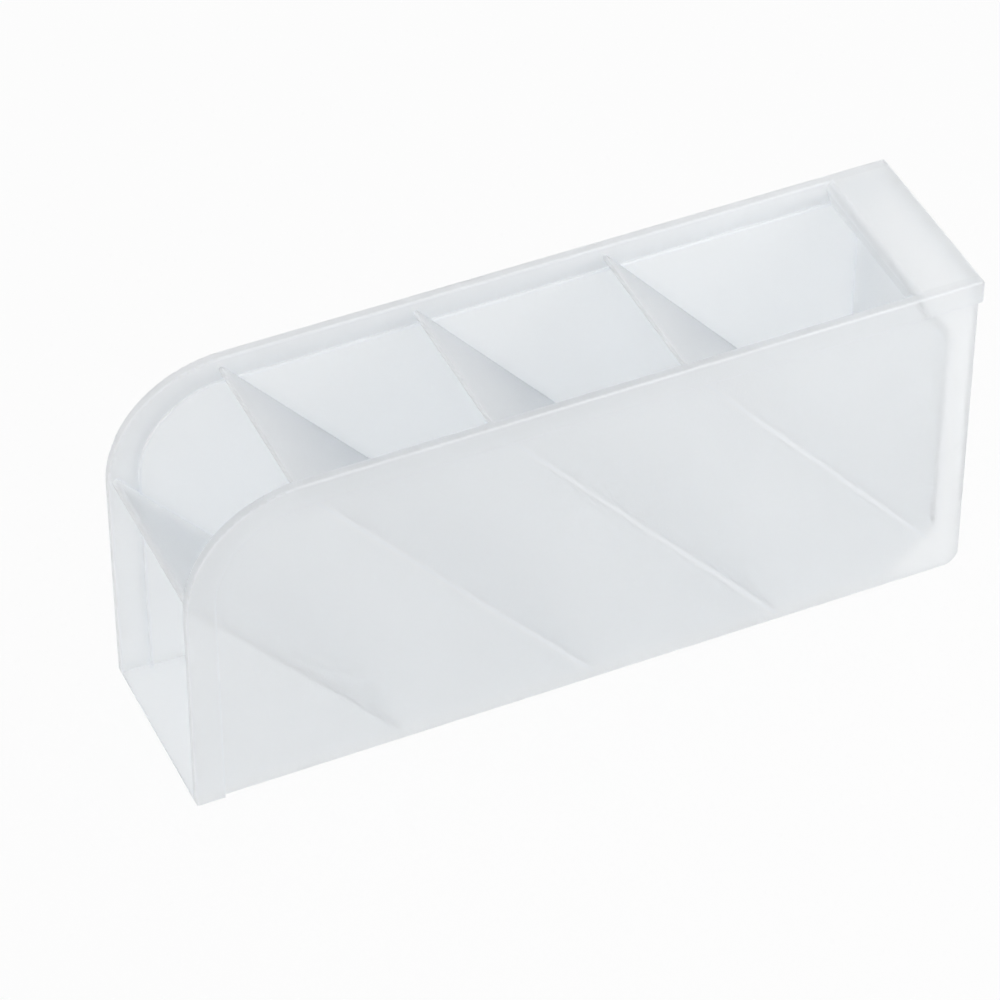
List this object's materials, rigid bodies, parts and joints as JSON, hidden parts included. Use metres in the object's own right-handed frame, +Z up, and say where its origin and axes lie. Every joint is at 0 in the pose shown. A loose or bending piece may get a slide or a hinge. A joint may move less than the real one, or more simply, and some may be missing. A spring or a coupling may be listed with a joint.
{
  "type": "pen tray",
  "caption": "Free-standing frosted desk tray with slanted pockets for pens, a swept front corner, a stepped rim and lift-out divider plates.",
  "frame": {"origin": "under the middle of the tray's overall box, on the surface it stands on", "axes": "+X from the swept front edge to the back ledge, +Y across the tray, +Z up"},
  "size_m": [0.2314, 0.0582, 0.103],
  "materials": {
    "frosted_shell": "frosted translucent moulding",
    "frosted_divider": "frosted translucent sheet"
  },
  "bodies": {
    "tray": {"tray_shell": "frosted_shell"},
    "front_divider": {"front_divider": "frosted_divider"},
    "middle_divider": {"middle_divider": "frosted_divider"},
    "rear_divider": {"rear_divider": "frosted_divider"}
  },
  "joints": [
    {"name": "front_divider_slide", "type": "slide", "parent": "tray", "child": "front_divider", "axis": [-0.6534, 0, 0.757], "range_m": [0, 0.14]},
    {"name": "middle_divider_slide", "type": "slide", "parent": "tray", "child": "middle_divider", "axis": [-0.6534, 0, 0.757], "range_m": [0, 0.14]},
    {"name": "rear_divider_slide", "type": "slide", "parent": "tray", "child": "rear_divider", "axis": [-0.6534, 0, 0.757], "range_m": [0, 0.127]}
  ]
}
